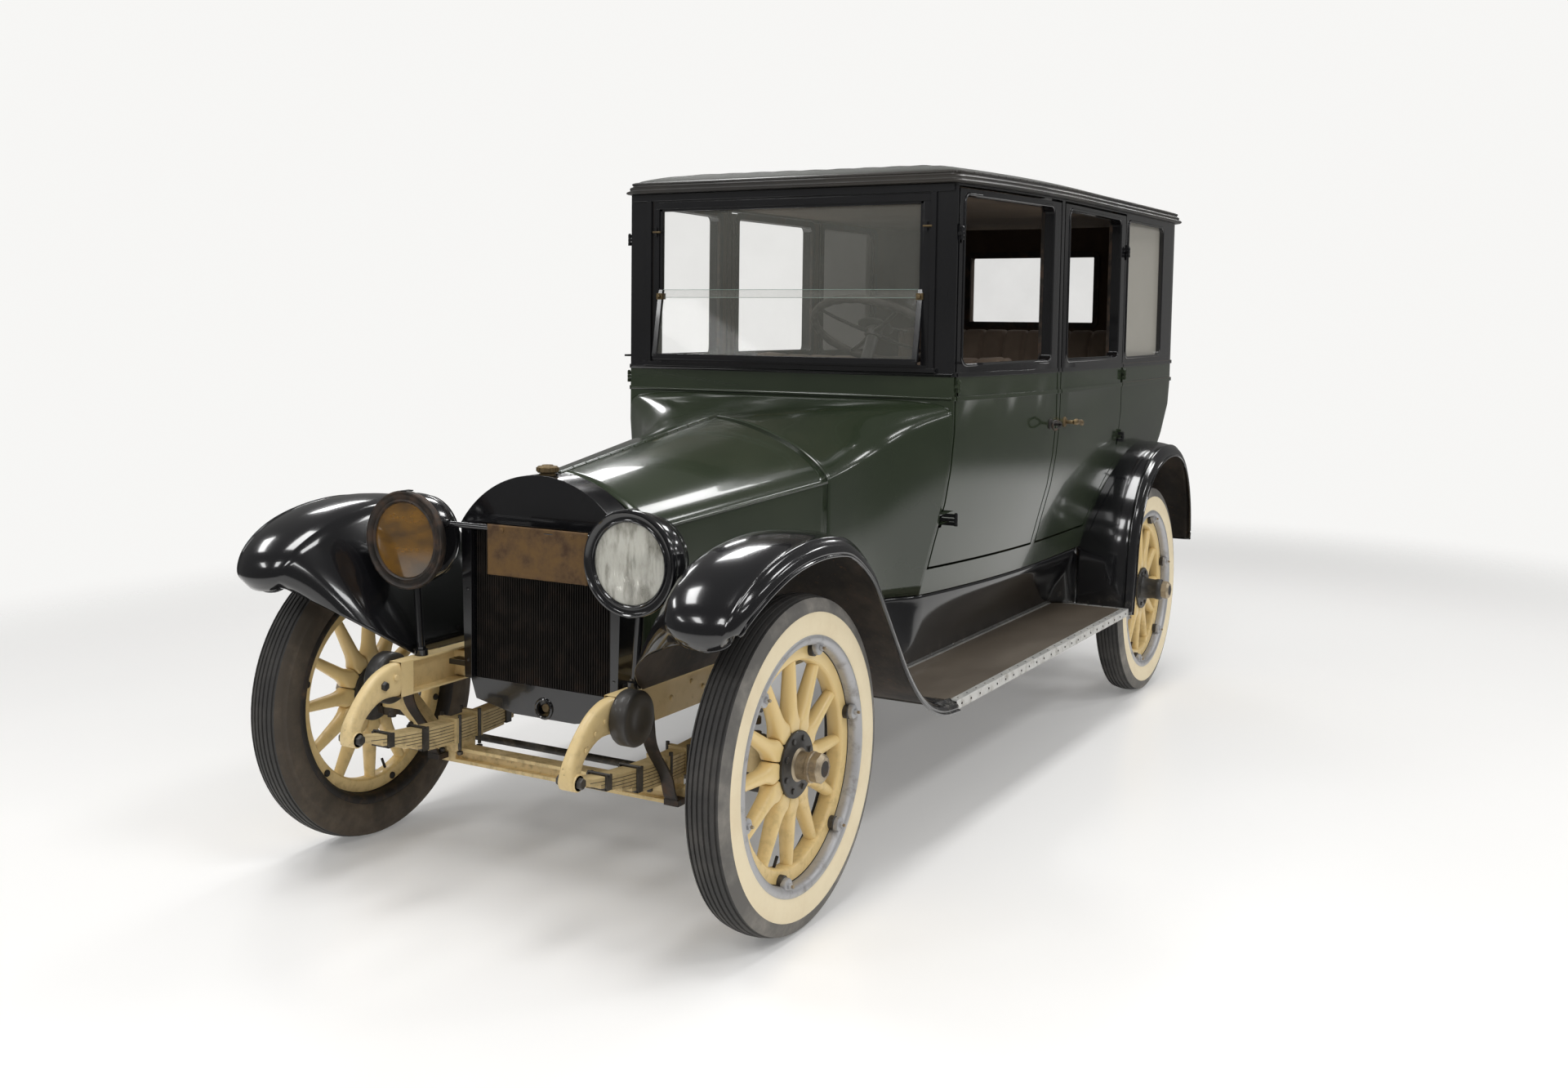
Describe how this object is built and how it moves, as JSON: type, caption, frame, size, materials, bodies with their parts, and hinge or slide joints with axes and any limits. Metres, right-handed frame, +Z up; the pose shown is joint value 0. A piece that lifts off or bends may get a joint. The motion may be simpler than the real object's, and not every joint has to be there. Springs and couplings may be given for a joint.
{
  "type": "1920s vintage car",
  "caption": "Closed vintage touring sedan with wood spoke wheels, opening doors and bonnet halves, steered front wheels and a rear spare tyre.",
  "frame": {"origin": "on the floor, under the middle of the overall length and width", "axes": "-Y the way the car faces, +X to its left side, +Z up"},
  "size_m": [1.704, 4.405, 2.085],
  "materials": {
    "chassis cream": "satin",
    "chassis black": "satin",
    "gloss black": "gloss",
    "body green": "gloss",
    "lamp black": "gloss",
    "engine grey": "rough",
    "exhaust iron": "rough",
    "core dark": "rough",
    "plate rust": "rough",
    "lamp glass": "gloss",
    "window glass": "gloss",
    "roof fabric": "rough",
    "floor wood": "rough",
    "dash wood": "satin",
    "wheel wood": "satin",
    "wheel cream": "satin",
    "brown cloth": "rough",
    "board lining": "satin",
    "tyre rubber": "rough"
  },
  "bodies": {
    "car": {"chassis_frame": "chassis cream", "engine_block": "engine grey", "leaf_springs": "chassis cream", "front_axle": "chassis cream", "rear_axle": "chassis black", "radiator_shell": "gloss black", "radiator_core": "core dark", "lamp_bar": "gloss black", "headlamps": "lamp black", "headlamp_lenses": "lamp glass", "number_plate": "plate rust", "snubbers": "chassis black", "cowl": "body green", "body_shell": "body green", "roof": "roof fabric", "floor": "floor wood", "windscreen_frame": "gloss black", "window_glass": "window glass", "front_fenders": "gloss black", "rear_fenders": "gloss black", "running_boards": "board lining", "splash_aprons": "gloss black", "seat_frames": "floor wood", "seat_cushions": "brown cloth", "dashboard": "dash wood", "driver_controls": "chassis black", "exhaust": "exhaust iron", "fuel_tank": "chassis black", "spare_tyre": "tyre rubber", "spare_carrier": "chassis black", "tail_lamp": "lamp black"},
    "bonnet_left_body": {"bonnet_left": "body green"},
    "bonnet_right_body": {"bonnet_right": "body green"},
    "door_front_left_body": {"door_front_left": "body green"},
    "door_front_right_body": {"door_front_right": "body green"},
    "door_rear_left_body": {"door_rear_left": "body green"},
    "door_rear_right_body": {"door_rear_right": "body green"},
    "steering_wheel_body": {"steering_wheel": "wheel wood"},
    "knuckle_left_body": {"knuckle_left": "chassis cream"},
    "knuckle_right_body": {"knuckle_right": "chassis cream"},
    "tie_rod_body": {"tie_rod": "chassis black"},
    "roadwheel_front_left": {"wheel_front_left": "wheel cream", "tyre_front_left": "tyre rubber"},
    "roadwheel_front_right": {"wheel_front_right": "wheel cream", "tyre_front_right": "tyre rubber"},
    "roadwheel_rear_left": {"wheel_rear_left": "wheel cream", "tyre_rear_left": "tyre rubber"},
    "roadwheel_rear_right": {"wheel_rear_right": "wheel cream", "tyre_rear_right": "tyre rubber"}
  },
  "joints": [
    {"name": "steer_left", "type": "hinge", "parent": "car", "child": "knuckle_left_body", "pos_m": [0.62, -1.7255, 0.432], "axis": [0, 0, 1], "range_deg": [-30, 30]},
    {"name": "steer_right", "type": "hinge", "parent": "car", "child": "knuckle_right_body", "pos_m": [-0.62, -1.7255, 0.432], "axis": [0, 0, 1], "range_deg": [-30, 30]},
    {"name": "tie_rod_pivot", "type": "hinge", "parent": "knuckle_left_body", "child": "tie_rod_body", "pos_m": [0.62, -1.5705, 0.298], "axis": [0, 0, 1], "range_deg": [-30, 30]},
    {"name": "steering_wheel_turn", "type": "hinge", "parent": "car", "child": "steering_wheel_body", "pos_m": [0.225, -0.2055, 1.515], "axis": [0, 0.5, 0.866], "range_deg": [-510, 510]},
    {"name": "wheel_front_left_spin", "type": "hinge", "parent": "knuckle_left_body", "child": "roadwheel_front_left", "pos_m": [0.711, -1.7255, 0.432], "axis": [1, 0, 0], "continuous": true},
    {"name": "wheel_rear_left_spin", "type": "hinge", "parent": "car", "child": "roadwheel_rear_left", "pos_m": [0.711, 1.4245, 0.432], "axis": [1, 0, 0], "continuous": true},
    {"name": "wheel_front_right_spin", "type": "hinge", "parent": "knuckle_right_body", "child": "roadwheel_front_right", "pos_m": [-0.711, -1.7255, 0.432], "axis": [1, 0, 0], "continuous": true},
    {"name": "wheel_rear_right_spin", "type": "hinge", "parent": "car", "child": "roadwheel_rear_right", "pos_m": [-0.711, 1.4245, 0.432], "axis": [1, 0, 0], "continuous": true},
    {"name": "door_front_left_hinge", "type": "hinge", "parent": "car", "child": "door_front_left_body", "pos_m": [0.63587, -0.4405, 1.3], "axis": [0, 0, -1], "range_deg": [0, 70]},
    {"name": "door_rear_left_hinge", "type": "hinge", "parent": "car", "child": "door_rear_left_body", "pos_m": [0.71852, 1.1255, 1.3], "axis": [0, 0, 1], "range_deg": [0, 70]},
    {"name": "door_front_right_hinge", "type": "hinge", "parent": "car", "child": "door_front_right_body", "pos_m": [-0.63587, -0.4405, 1.3], "axis": [0, 0, 1], "range_deg": [0, 70]},
    {"name": "door_rear_right_hinge", "type": "hinge", "parent": "car", "child": "door_rear_right_body", "pos_m": [-0.71852, 1.1255, 1.3], "axis": [0, 0, -1], "range_deg": [0, 70]},
    {"name": "bonnet_left_hinge", "type": "hinge", "parent": "car", "child": "bonnet_left_body", "pos_m": [0, -1.31435, 1.18511], "axis": [0, -0.9906, -0.1369], "range_deg": [0, 60]},
    {"name": "bonnet_right_hinge", "type": "hinge", "parent": "car", "child": "bonnet_right_body", "pos_m": [0, -1.31435, 1.18511], "axis": [0, 0.9906, 0.1369], "range_deg": [0, 60]}
  ],
  "couplings": [
    {"joint": "steer_right", "follows": "steer_left", "ratio": 1},
    {"joint": "tie_rod_pivot", "follows": "steer_left", "ratio": -1},
    {"joint": "steering_wheel_turn", "follows": "steer_left", "ratio": 17}
  ]
}
